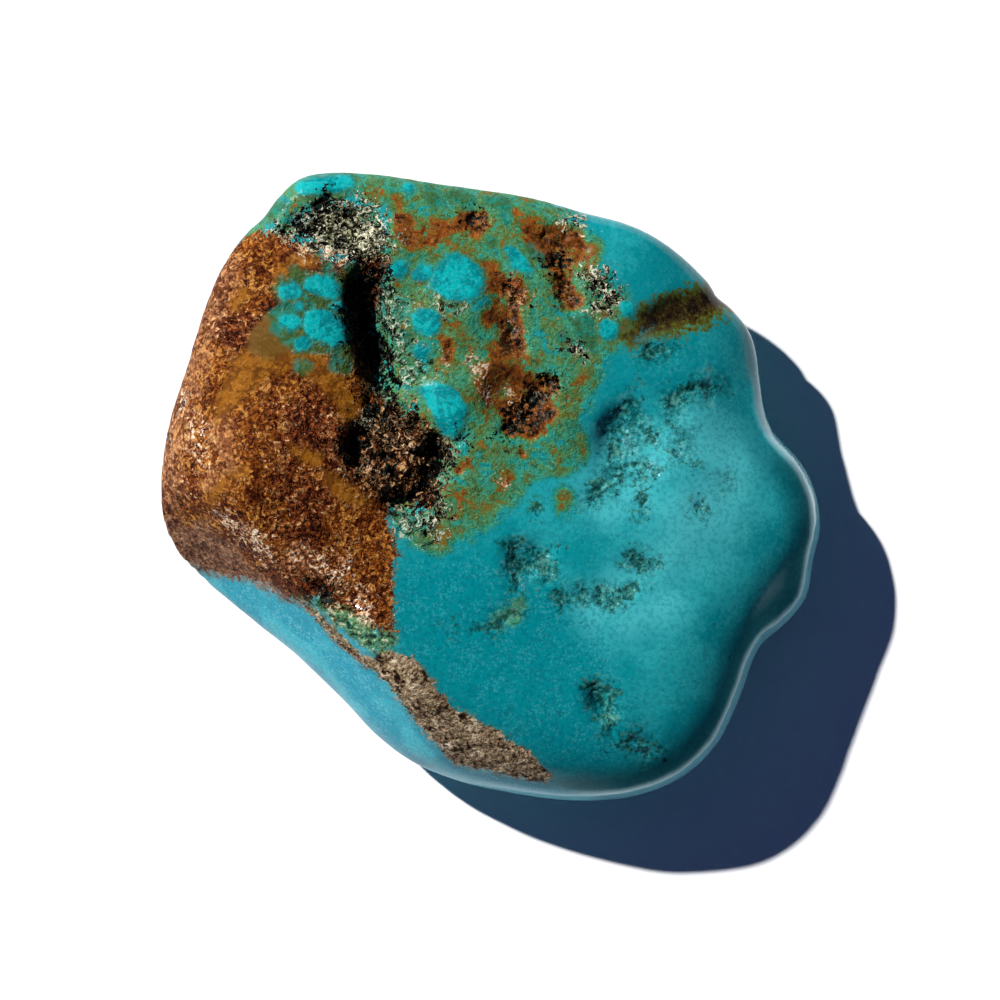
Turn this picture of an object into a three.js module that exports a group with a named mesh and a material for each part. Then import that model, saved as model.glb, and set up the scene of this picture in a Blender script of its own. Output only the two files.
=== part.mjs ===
// A tumble-polished turquoise nugget, lying on the flattest of its worn faces.
//
// The stone is one natural piece: blue-green turquoise grown through brown iron-stained
// host rock. Tumbling has rounded it to a broad low pebble with a gently domed crown, a
// steep flank along one side and a soft rim all round, and has left the softer host rock
// standing lower, as cracks, crusty pits and shallow dimples.
//
// Units are millimetres, +Z is up and the stone rests on Z = 0. The origin is under the
// middle of the stone's box. Bearings are degrees anticlockwise from +X, seen from above.
import * as THREE from "three";
import { mergeVertices } from "three/addons/utils/BufferGeometryUtils.js";
import { ImprovedNoise } from "three/addons/math/ImprovedNoise.js";

// Driving dimensions
const CROWN_HEIGHT = 9.4; // the crown over the middle of the stone, before its dome and hollows
const CROWN_FALL = 0.095; // how far the crown drops for each millimetre towards +X
const CROWN_BOW = 0.0045; // how fast it curves down away from the middle, per square millimetre
const REST_LENGTH = 6.8; // half the worn flat underneath, along X
const REST_BREADTH = 6.0; // half the worn flat underneath, along Y
const UNDERSIDE_RISE = 0.95; // how far the underside has risen at UNDERSIDE_SPAN times the flat
const UNDERSIDE_SPAN = 2;
const SMOOTH_EDGE = 1.3; // triangle edge on the smooth stone
const RIM_EDGE = 0.95; // triangle edge along the rim
const RIM_BAND = 0.9; // how far above and below the rim its triangles go
const FINE_EDGE = 0.5; // triangle edge in the cracks and pits
const FINE_DEPTH = 0.3; // the least depth of a hollow that has fine triangles
const FINE_BORDER = 0.5; // how far the fine triangles go on past the hollow's reach
const START_DETAIL = 10; // how often each edge of the starting icosahedron is divided
const REFINE_PASSES = 3;
const SPLIT_OVER = 1.35; // an edge is split once it is this many times the length wanted

// The stone's plan, its widest outline, followed anticlockwise from the middle of the right
const OUTLINE = [
  [16.8, 0.0],
  [15.85, 1.6],
  [14.75, 2.6],
  [14.2, 3.7],
  [13.9, 5.6],
  [13.55, 7.6],
  [12.75, 8.85],
  [11.7, 9.9],
  [11.35, 10.45],
  [9.4, 12.2],
  [7.0, 13.45],
  [4.6, 14.0],
  [2.9, 14.5],
  [0.6, 14.95],
  [-2.7, 15.45],
  [-5.6, 15.85],
  [-7.7, 15.95],
  [-9.45, 15.7],
  [-10.65, 14.75],
  [-11.45, 13.65],
  [-12.35, 12.8],
  [-13.6, 10.9],
  [-14.4, 9.0],
  [-15.3, 6.0],
  [-16.25, 3.0],
  [-16.7, 0.6],
  [-16.65, -1.2],
  [-15.85, -3.2],
  [-14.6, -4.8],
  [-12.2, -6.8],
  [-9.8, -8.7],
  [-7.7, -10.7],
  [-5.7, -12.9],
  [-3.9, -14.35],
  [-1.8, -15.2],
  [1.6, -15.85],
  [5.2, -16.05],
  [7.8, -15.75],
  [9.9, -14.95],
  [11.65, -13.35],
  [12.8, -11.0],
  [13.5, -9.0],
  [14.3, -7.3],
  [15.2, -5.8],
  [16.3, -4.3],
  [17.1, -2.4],
];

// How the stone turns over its rim at each bearing: the height of the widest line above the
// rest, the radius of the edge above it, and how far in from that line the shoulder of the
// crown and the underside have levelled out.
const SIDES = [
  { bearing: 0, rim: 3.1, edge: 2.5, over: 7.0, under: 3.0 },
  { bearing: 14, rim: 4.8, edge: 0.5, over: 4.6, under: 3.2 },
  { bearing: 26, rim: 4.35, edge: 0.5, over: 4.6, under: 3.2 },
  { bearing: 38, rim: 5.0, edge: 0.8, over: 5.0, under: 3.4 },
  { bearing: 62, rim: 6.4, edge: 0.9, over: 4.0, under: 4.4 },
  { bearing: 95, rim: 6.9, edge: 1.0, over: 4.0, under: 4.8 },
  { bearing: 125, rim: 7.6, edge: 1.2, over: 4.0, under: 5.4 },
  { bearing: 150, rim: 7.9, edge: 1.2, over: 4.0, under: 5.4 },
  { bearing: 168, rim: 6.7, edge: 1.3, over: 5.0, under: 4.6 },
  { bearing: 186, rim: 5.2, edge: 1.3, over: 5.0, under: 3.6 },
  { bearing: 202, rim: 3.3, edge: 1.4, over: 4.0, under: 2.8 },
  { bearing: 216, rim: 3.1, edge: 1.4, over: 3.0, under: 2.4 },
  { bearing: 240, rim: 2.9, edge: 1.4, over: 3.0, under: 2.4 },
  { bearing: 262, rim: 3.0, edge: 1.8, over: 5.0, under: 3.0 },
  { bearing: 285, rim: 3.6, edge: 3.0, over: 5.0, under: 3.2 },
  { bearing: 315, rim: 4.1, edge: 3.4, over: 4.4, under: 3.4 },
  { bearing: 335, rim: 4.1, edge: 2.3, over: 4.0, under: 3.0 },
  { bearing: 350, rim: 3.0, edge: 2.9, over: 6.0, under: 2.8 },
];

// The steep flank cuts the crown off along a ridge: two points on the ridge in plan, the
// height of the ridge, the slope below it and how softly the two faces meet.
const FLANK = { from: [-12.9, -2.0], to: [-1.8, -12.8], height: 9.2, slope: 61, soft: 0.9 };

// Swells stand up from the crown and hollows sink into it. reach is the half length and half
// breadth, turn the bearing of the length, and floor the share of the reach that is level. A
// gentle hollow has no walls to speak of.
const SWELLS = [
  { name: "host rock dome", at: [-11.6, 1.8], reach: [9.0, 8.2], turn: 70, rise: 0.6, floor: 0.3 },
  { name: "host rock shoulder", at: [-12.6, 0.6], reach: [4.0, 3.2], turn: 60, rise: 0.5, floor: 0.1 },
  { name: "corner boss", at: [-7.2, 12.0], reach: [4.6, 3.2], turn: 170, rise: 0.45, floor: 0.1 },
  { name: "turquoise boss", at: [-1.6, 8.9], reach: [3.4, 2.6], turn: 20, rise: 0.4, floor: 0.1 },
  { name: "lower boss", at: [-2.2, 4.0], reach: [1.9, 1.4], turn: 120, rise: 0.3, floor: 0.1 },
  { name: "far boss", at: [9.2, -1.2], reach: [4.6, 3.0], turn: 60, rise: 0.25, floor: 0.0 },
  { name: "far corner", at: [9.4, -7.4], reach: [8.0, 6.0], turn: 60, rise: 0.45, floor: 0.0 },
  { name: "ridge by the flank", at: [-5.2, -8.4], reach: [5.0, 2.0], turn: 134, rise: 0.3, floor: 0.1 },
];
const HOLLOWS = [
  { name: "valley", at: [-4.9, 4.4], reach: [6.6, 3.4], turn: 105, depth: 0.6, floor: 0.1, gentle: true },
  { name: "deep crack", at: [-5.8, 7.6], reach: [4.2, 1.4], turn: 102, depth: 1.6, floor: 0.15 },
  { name: "crust pit, near lip", at: [-6.6, 1.7], reach: [1.8, 1.0], turn: 95, depth: 0.85, floor: 0.1 },
  { name: "crust pit, far lip", at: [-2.8, 1.4], reach: [2.0, 1.0], turn: 75, depth: 0.85, floor: 0.1 },
  { name: "crust pit, end", at: [-4.5, -0.7], reach: [2.2, 1.0], turn: 20, depth: 0.5, floor: 0.1 },
  { name: "crystal bed", at: [-7.8, 13.2], reach: [3.6, 1.9], turn: 172, depth: 0.9, floor: 0.2 },
  { name: "rusty pit", at: [1.3, 4.6], reach: [2.3, 1.9], turn: 30, depth: 0.65, floor: 0.2 },
  { name: "rusty vein", at: [0.8, 8.6], reach: [3.4, 1.2], turn: 103, depth: 0.35, floor: 0.1 },
  { name: "rusty corner", at: [3.9, 12.3], reach: [2.2, 1.6], turn: 150, depth: 0.5, floor: 0.2 },
  { name: "rusty tail", at: [4.1, 9.8], reach: [2.0, 1.0], turn: 100, depth: 0.35, floor: 0.1 },
  { name: "streak", at: [9.5, 8.9], reach: [3.3, 1.1], turn: 22, depth: 0.5, floor: 0.1 },
  { name: "broad dimple", at: [7.2, 2.6], reach: [4.4, 3.0], turn: 48, depth: 0.5, floor: 0, gentle: true },
  { name: "dimple wall", at: [6.3, 2.6], reach: [2.1, 1.1], turn: 70, depth: 0.35, floor: 0.1 },
  { name: "dimple by the rim", at: [10.1, 4.8], reach: [2.0, 0.9], turn: 22, depth: 0.25, floor: 0.1 },
  { name: "middle dimple", at: [2.1, -3.7], reach: [1.8, 1.4], turn: 60, depth: 0.42, floor: 0.1 },
  { name: "side dimple", at: [6.6, -4.8], reach: [1.6, 0.9], turn: 30, depth: 0.22, floor: 0 },
  { name: "lower dimple", at: [5.7, -10.9], reach: [1.5, 0.9], turn: 118, depth: 0.4, floor: 0.1 },
  { name: "rim dimple", at: [7.6, -13.0], reach: [1.1, 0.8], turn: 150, depth: 0.2, floor: 0 },
  { name: "pit behind the ridge", at: [-7.2, -5.5], reach: [1.4, 1.0], turn: 150, depth: 0.45, floor: 0.1 },
  { name: "crease of the cheek", at: [-9.6, -3.2], reach: [2.8, 1.2], turn: 140, depth: 0.25, floor: 0 },
];

// The underside, seen through the stone from above
const UNDER_SWELLS = [
  { name: "keel", at: [-7.5, 6.5], reach: [6.0, 3.6], turn: 120, rise: 0.5, floor: 0.1 },
];
const UNDER_HOLLOWS = [
  { name: "long scoop", at: [9.6, -6.6], reach: [4.6, 1.9], turn: 62, depth: 0.55, floor: 0.1 },
  { name: "round scoop", at: [-11.2, 1.2], reach: [2.2, 1.7], turn: 30, depth: 0.5, floor: 0.1 },
  { name: "old break", at: [2.2, 10.6], reach: [3.6, 1.5], turn: 8, depth: 0.6, floor: 0.2 },
  { name: "small pit", at: [-4.6, -9.6], reach: [1.5, 1.1], turn: 80, depth: 0.5, floor: 0.2 },
];

// Knobs push the wall outwards: where they are, how far they reach and how proud they stand
const KNOBS = [
  { name: "foot below the rim", at: [15.2, -6.1, 2.3], reach: 3.6, proud: 1.3 },
  { name: "cheek", at: [-15.4, -2.6, 4.7], reach: 3.2, proud: 0.25 },
];

const WAVES = [
  { length: 6.5, height: 0.16 }, // the pebble's slow unevenness
  { length: 2.6, height: 0.05 }, // fainter and shorter, as tumbling leaves it
];
const RAGGED = { length: 2.4, shift: 0.38 }; // how the edges of swells and hollows wander
const TURQUOISE_BLUE = 0x2ba3a6;

const noise = new ImprovedNoise();

// How far a place in plan is from the middle of a swell or hollow, as a share of its reach
function shareOfReach({ at, reach, turn }, x, y) {
  const bearing = THREE.MathUtils.degToRad(turn);
  const wander = (layer) =>
    RAGGED.shift * noise.noise(x / RAGGED.length, y / RAGGED.length, layer);
  const dx = x - at[0] + wander(0.5);
  const dy = y - at[1] + wander(7.5);
  const along = (dx * Math.cos(bearing) + dy * Math.sin(bearing)) / reach[0];
  const across = (dy * Math.cos(bearing) - dx * Math.sin(bearing)) / reach[1];
  return Math.hypot(along, across);
}

// 1 on the level floor of a swell or hollow, 0 outside its reach, smooth between
function spread(form, x, y) {
  return 1 - THREE.MathUtils.smoothstep(shareOfReach(form, x, y), form.floor, 1);
}

function relief(swells, hollows, x, y) {
  const up = swells.reduce((sum, swell) => sum + swell.rise * spread(swell, x, y), 0);
  const down = hollows.reduce((sum, hollow) => sum + hollow.depth * spread(hollow, x, y), 0);
  return up - down;
}

// The smaller of two heights, with the corner between them rounded over soft
function softMinimum(a, b, soft) {
  const blend = Math.max(soft - Math.abs(a - b), 0) / soft;
  return Math.min(a, b) - (blend * blend * soft) / 4;
}

// The reach of the plan outline from the middle at every bearing, from a smooth closed curve
const outlineCurve = new THREE.CatmullRomCurve3(
  OUTLINE.map(([x, y]) => new THREE.Vector3(x, y, 0)),
  true,
  "centripetal",
);
const OUTLINE_SAMPLES = 1440;
const outlineReach = outlineCurve
  .getPoints(OUTLINE_SAMPLES)
  .map((point) => ({ bearing: bearingOf(point.x, point.y), reach: Math.hypot(point.x, point.y) }))
  .sort((a, b) => a.bearing - b.bearing);

function bearingOf(x, y) {
  return THREE.MathUtils.euclideanModulo(THREE.MathUtils.radToDeg(Math.atan2(y, x)), 360);
}

function planReach(bearing) {
  const next = outlineReach.findIndex((sample) => sample.bearing > bearing);
  const after = outlineReach[Math.max(next, 0)];
  const before = outlineReach.at(next > 0 ? next - 1 : -1);
  const gap = THREE.MathUtils.euclideanModulo(after.bearing - before.bearing, 360);
  const part = THREE.MathUtils.euclideanModulo(bearing - before.bearing, 360) / Math.max(gap, 1e-9);
  return THREE.MathUtils.lerp(before.reach, after.reach, Math.min(part, 1));
}

// The row of SIDES at any bearing, eased from one stated bearing to the next
function sideAt(bearing) {
  const next = SIDES.findIndex((side) => side.bearing > bearing);
  const after = SIDES[Math.max(next, 0)];
  const before = SIDES.at(next > 0 ? next - 1 : -1);
  const gap = THREE.MathUtils.euclideanModulo(after.bearing - before.bearing, 360);
  const part = THREE.MathUtils.euclideanModulo(bearing - before.bearing, 360) / gap;
  const eased = THREE.MathUtils.smoothstep(part, 0, 1);
  const mix = (key) => THREE.MathUtils.lerp(before[key], after[key], eased);
  return { rim: mix("rim"), edge: mix("edge"), over: mix("over"), under: mix("under") };
}

// How much of the way from the rim to the level a face has gone, inset from the widest line
function turnOver(inset, width) {
  const left = 1 - Math.min(inset / width, 1);
  return Math.sqrt(1 - left * left);
}

// The crown falls away over the shoulder and then turns down to the rim over a round edge
function shoulderHeight(crown, { rim, edge, over }, inset) {
  const left = 1 - Math.min(inset / over, 1);
  const shoulder = THREE.MathUtils.lerp(crown, rim + edge, left * left);
  return shoulder - edge * (1 - turnOver(inset, edge));
}

function crownHeight(x, y) {
  const level = CROWN_HEIGHT - CROWN_FALL * x - CROWN_BOW * (x * x + y * y);
  return level + relief(SWELLS, HOLLOWS, x, y);
}

function flankHeight(x, y) {
  const [ax, ay] = FLANK.from;
  const ridge = new THREE.Vector2(FLANK.to[0] - ax, FLANK.to[1] - ay).normalize();
  const outside = (x - ax) * ridge.y - (y - ay) * ridge.x;
  return FLANK.height - outside * Math.tan(THREE.MathUtils.degToRad(FLANK.slope));
}

function undersideHeight(x, y) {
  const share = Math.hypot(x / REST_LENGTH, y / REST_BREADTH);
  const level = (UNDERSIDE_RISE * (share ** 3 - 1)) / (UNDERSIDE_SPAN ** 3 - 1);
  return level - relief(UNDER_SWELLS, UNDER_HOLLOWS, x, y);
}

// The point of the stone that a direction from its middle stands for
function surfacePoint(direction) {
  const share = Math.min(Math.hypot(direction.x, direction.y), 1);
  const bearing = bearingOf(direction.x, direction.y);
  const reach = planReach(bearing);
  const side = sideAt(bearing);
  const angle = THREE.MathUtils.degToRad(bearing);
  const x = share * reach * Math.cos(angle);
  const y = share * reach * Math.sin(angle);
  const inset = (1 - share) * reach;
  const point = new THREE.Vector3(x, y, side.rim);
  if (direction.z > 0) {
    const domed = shoulderHeight(crownHeight(x, y), side, inset);
    point.z = Math.max(softMinimum(domed, flankHeight(x, y), FLANK.soft), side.rim);
  } else {
    point.z = side.rim + (undersideHeight(x, y) - side.rim) * turnOver(inset, side.under);
  }
  return wearWaves(pushKnobs(point));
}

function pushKnobs(point) {
  for (const { at, reach, proud } of KNOBS) {
    const near = point.distanceTo(new THREE.Vector3(...at)) / reach;
    const push = proud * (1 - THREE.MathUtils.smootherstep(near, 0, 1));
    const outwards = new THREE.Vector2(point.x, point.y).normalize();
    point.x += push * outwards.x;
    point.y += push * outwards.y;
  }
  return point;
}

function wearWaves(point) {
  const outwards = point.clone().sub(new THREE.Vector3(0, 0, CROWN_HEIGHT / 2)).normalize();
  for (const { length, height } of WAVES) {
    const wave = noise.noise(point.x / length, point.y / length, point.z / length);
    point.addScaledVector(outwards, wave * height);
  }
  return point;
}

const FINE_HOLLOWS = HOLLOWS
  .filter((hollow) => hollow.depth >= FINE_DEPTH && !hollow.gentle)
  .map((hollow) => ({ ...hollow, reach: hollow.reach.map((reach) => reach + FINE_BORDER) }));

// Small triangles are wanted in and just around the deeper hollows of the crown, and along
// the rim
function edgeWanted(point) {
  const inHollow = FINE_HOLLOWS.some((hollow) => shareOfReach(hollow, point.x, point.y) < 1);
  if (inHollow && point.z > CROWN_HEIGHT / 2) return FINE_EDGE;
  const { rim } = sideAt(bearingOf(point.x, point.y));
  return Math.abs(point.z - rim) < RIM_BAND ? RIM_EDGE : SMOOTH_EDGE;
}

// Splits each edge longer than the one wanted at its middle, alike for both its triangles
function refine(directions, triangles) {
  const points = directions.map(surfacePoint);
  const middles = new Map();
  const middleOf = (a, b) => {
    const key = a < b ? `${a},${b}` : `${b},${a}`;
    if (!middles.has(key)) {
      const middle = directions[a].clone().add(directions[b]).normalize();
      const wanted = edgeWanted(surfacePoint(middle));
      const tooLong = points[a].distanceTo(points[b]) > SPLIT_OVER * wanted;
      middles.set(key, tooLong ? directions.push(middle) - 1 : -1);
    }
    return middles.get(key);
  };
  const finer = [];
  for (const [a, b, c] of triangles) {
    const cuts = [middleOf(a, b), middleOf(b, c), middleOf(c, a)];
    finer.push(...splitTriangle([a, b, c], cuts));
  }
  return finer;
}

// A triangle cut at the middles of one, two or three of its edges. cuts[i] is the middle of
// the edge that leaves corner i, or -1 where that edge stays whole.
function splitTriangle(corners, cuts) {
  const count = cuts.filter((cut) => cut >= 0).length;
  const turn = (list, by) => list.map((_, i) => list[(i + by) % 3]);
  if (count === 0) return [corners];
  if (count === 3) {
    const [a, b, c] = corners;
    const [ab, bc, ca] = cuts;
    return [[a, ab, ca], [ab, b, bc], [ca, bc, c], [ab, bc, ca]];
  }
  const cutFirst = cuts.findIndex((cut) => cut >= 0);
  const afterWhole = (cuts.findIndex((cut) => cut < 0) + 1) % 3;
  const first = count === 1 ? cutFirst : afterWhole;
  const [a, b, c] = turn(corners, first);
  const [ab, bc] = turn(cuts, first);
  return count === 1 ? [[a, ab, c], [ab, b, c]] : [[ab, b, bc], [a, ab, bc], [a, bc, c]];
}

function stoneGeometry() {
  const ball = new THREE.IcosahedronGeometry(1, START_DETAIL);
  ball.deleteAttribute("normal");
  ball.deleteAttribute("uv");
  const welded = mergeVertices(ball);
  const place = welded.getAttribute("position");
  const directions = Array.from({ length: place.count }, (_, i) =>
    new THREE.Vector3().fromBufferAttribute(place, i).normalize());
  let triangles = Array.from({ length: welded.index.count / 3 }, (_, i) =>
    [0, 1, 2].map((corner) => welded.index.getX(3 * i + corner)));
  for (let pass = 0; pass < REFINE_PASSES; pass++) triangles = refine(directions, triangles);

  const points = directions.map(surfacePoint);
  for (const point of points) point.z = Math.max(point.z, 0); // worn flat where it rests
  const geometry = new THREE.BufferGeometry().setFromPoints(points);
  geometry.setIndex(triangles.flat());
  geometry.computeBoundingBox();
  const middle = geometry.boundingBox.getCenter(new THREE.Vector3());
  geometry.translate(-middle.x, -middle.y, 0);
  geometry.computeVertexNormals();
  return geometry;
}

const turquoise = new THREE.MeshStandardMaterial({
  color: TURQUOISE_BLUE,
  roughness: 0.3,
  metalness: 0,
});

const nugget = new THREE.Mesh(stoneGeometry(), turquoise);
nugget.name = "turquoise_nugget";

const stone = new THREE.Group();
stone.add(nugget);

export default stone;
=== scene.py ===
"""A tumble-polished turquoise nugget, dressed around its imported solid.

The stone is one natural piece. Blue-green turquoise has grown through brown, iron-stained
host rock, and tumbling has polished the hard parts and left the soft ones as dark cracks,
crusty pits and shallow dimples. Blender works in metres here; sizes of the stone are given
in millimetres and turned into metres by MM. +Z is up, and the stone rests on Z = 0.
"""

import bpy
import numpy as np
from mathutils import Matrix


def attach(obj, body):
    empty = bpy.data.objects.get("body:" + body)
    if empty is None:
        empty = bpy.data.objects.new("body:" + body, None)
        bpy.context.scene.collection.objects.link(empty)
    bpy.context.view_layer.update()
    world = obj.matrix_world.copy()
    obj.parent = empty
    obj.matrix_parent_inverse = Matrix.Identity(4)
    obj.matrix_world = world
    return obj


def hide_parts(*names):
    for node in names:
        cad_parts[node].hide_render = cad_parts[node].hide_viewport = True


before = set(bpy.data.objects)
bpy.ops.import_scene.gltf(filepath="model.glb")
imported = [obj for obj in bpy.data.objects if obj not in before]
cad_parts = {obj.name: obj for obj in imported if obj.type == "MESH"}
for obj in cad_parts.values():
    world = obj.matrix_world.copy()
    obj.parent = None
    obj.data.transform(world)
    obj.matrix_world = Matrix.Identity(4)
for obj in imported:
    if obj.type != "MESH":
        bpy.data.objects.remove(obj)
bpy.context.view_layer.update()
MM = 0.001


# --- Camera -----------------------------------------------------------------------------
# It looks straight down on the stone from above, through a long lens, so that the rim is
# seen all round and only the steep flank at the lower left shows any of its side.
VIEW_CENTRE = (0.4 * MM, -0.56 * MM)
VIEW_WIDTH = 51.3 * MM  # what the square picture takes in at the height of the rim
RIM_HEIGHT = 4.5 * MM
CAMERA_RISE = 250 * MM  # above the rim
SENSOR = 36.0

bpy.ops.object.camera_add(location=(*VIEW_CENTRE, RIM_HEIGHT + CAMERA_RISE), rotation=(0, 0, 0))
camera = bpy.context.object
camera.name = "camera"
camera.data.sensor_width = SENSOR
camera.data.lens = SENSOR * CAMERA_RISE / VIEW_WIDTH
camera.data.clip_start = 10 * MM
camera.data.clip_end = 10
bpy.context.scene.camera = camera


# --- Floor and light --------------------------------------------------------------------
# A plain pale floor, one soft lamp far off to the upper left, and a dim cool room round it.
# A thin pale band at the room's horizon carries the floor on into the distance.
FLOOR_HALF = 2.5
FLOOR_TONE = (0.87, 0.87, 0.87, 1)
LAMP_BEARING = 140  # degrees anticlockwise from +X, seen from above
LAMP_ELEVATION = 39  # degrees
LAMP_STRENGTH = 6.3
LAMP_SPREAD = 1.5  # degrees across, which softens the shadow's edge
ROOM_TONE = (0.24, 0.36, 1.0, 1)
ROOM_STRENGTH = 0.085
HORIZON_TONE = (1.0, 1.0, 1.0, 1)
HORIZON_STRENGTH = 0.6
HORIZON_RISE = (0.0, 0.06)  # sines of the elevations where the band starts to fade and ends

bpy.ops.mesh.primitive_plane_add(size=2 * FLOOR_HALF, location=(0, 0, 0))
floor = bpy.context.object
floor.name = "floor"
paper = bpy.data.materials.new("floor_paper")
paper.use_nodes = True
paper.node_tree.nodes["Principled BSDF"].inputs["Base Color"].default_value = FLOOR_TONE
paper.node_tree.nodes["Principled BSDF"].inputs["Roughness"].default_value = 0.9
floor.data.materials.append(paper)

lamp_tilt = np.radians(90 - LAMP_ELEVATION)
lamp_turn = np.radians(LAMP_BEARING + 90)
bpy.ops.object.light_add(type="SUN", location=(-0.3, 0.3, 0.4), rotation=(lamp_tilt, 0, lamp_turn))
lamp = bpy.context.object
lamp.name = "lamp"
lamp.data.energy = LAMP_STRENGTH
lamp.data.angle = np.radians(LAMP_SPREAD)

room = bpy.data.worlds.new("room")
bpy.context.scene.world = room
room.use_nodes = True
room_nodes = room.node_tree.nodes
sight = room_nodes.new("ShaderNodeTexCoord")
parts = room_nodes.new("ShaderNodeSeparateXYZ")
fade = room_nodes.new("ShaderNodeMapRange")
fade.interpolation_type = "SMOOTHSTEP"
fade.inputs["From Min"].default_value = HORIZON_RISE[0]
fade.inputs["From Max"].default_value = HORIZON_RISE[1]
band = room_nodes.new("ShaderNodeBackground")
band.inputs["Color"].default_value = HORIZON_TONE
band.inputs["Strength"].default_value = HORIZON_STRENGTH
dim = room_nodes["Background"]
dim.inputs["Color"].default_value = ROOM_TONE
dim.inputs["Strength"].default_value = ROOM_STRENGTH
both = room_nodes.new("ShaderNodeMixShader")
wire = room.node_tree.links.new
wire(sight.outputs["Generated"], parts.inputs["Vector"])
wire(parts.outputs["Z"], fade.inputs["Value"])
wire(fade.outputs["Result"], both.inputs["Fac"])
wire(band.outputs["Background"], both.inputs[1])
wire(dim.outputs["Background"], both.inputs[2])
wire(both.outputs["Shader"], room_nodes["World Output"].inputs["Surface"])
bpy.context.scene.view_settings.view_transform = "Standard"


# --- The nugget's skin ------------------------------------------------------------------
# One rounded lump, worn smooth by tumbling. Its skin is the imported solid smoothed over,
# then laid out afresh in even small faces, finer where the rock is rough.
SKIN_STEP = 0.295 * MM  # spacing of the faces over the polished turquoise
SMOOTHING_LEVELS = 2
STRAY = 0.001 * MM  # corners closer than this are one
EASE, EASE_TIMES = 0.5, 4  # how strongly and how often the even faces are smoothed

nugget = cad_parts["turquoise_nugget"]


def pick_only(piece):
    """Makes piece the one selected and active object."""
    bpy.ops.object.select_all(action="DESELECT")
    piece.select_set(True)
    bpy.context.view_layer.objects.active = piece


def shape_with(piece, kind, **settings):
    """Adds a modifier of that kind to piece and applies it."""
    pick_only(piece)
    bpy.ops.object.modifier_add(type=kind)
    modifier = piece.modifiers[-1]
    for name, value in settings.items():
        setattr(modifier, name, value)
    bpy.ops.object.modifier_apply(modifier=modifier.name)


def copy_of_solid(name):
    """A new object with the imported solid's mesh, its corners merged."""
    copy = bpy.data.objects.new(name, nugget.data.copy())
    bpy.context.scene.collection.objects.link(copy)
    copy.data.materials.clear()
    pick_only(copy)
    bpy.ops.object.mode_set(mode="EDIT")
    bpy.ops.mesh.select_all(action="SELECT")
    bpy.ops.mesh.remove_doubles(threshold=STRAY)
    bpy.ops.mesh.normals_make_consistent(inside=False)
    bpy.ops.object.mode_set(mode="OBJECT")
    return copy


guide = copy_of_solid("guide")
shape_with(guide, "SUBSURF", levels=SMOOTHING_LEVELS, render_levels=SMOOTHING_LEVELS)
stone = copy_of_solid("polished_nugget")
shape_with(stone, "SUBSURF", levels=1, render_levels=1)
shape_with(stone, "REMESH", mode="VOXEL", voxel_size=SKIN_STEP)
shape_with(stone, "SMOOTH", factor=EASE, iterations=EASE_TIMES)
shape_with(stone, "SHRINKWRAP", target=guide, wrap_method="NEAREST_SURFACEPOINT")
bpy.data.objects.remove(guide)


# --- Where each kind of rock shows ------------------------------------------------------
# The host rock, its seams and its crusts run down through the stone, so each is drawn in
# plan: as a closed area of corners (x, y) or as a stroke of rounds (x, y, radius), in
# millimetres. Below the rim they lie a little to one side, as slanting beds do.
SLANT = (0.16, -0.22)  # how far a bed shifts in plan for each millimetre of depth
SLANT_START = 3.2  # the height that the beds start to slant down from
TINY = 1e-9  # keeps a division by a length of nothing safe

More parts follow.
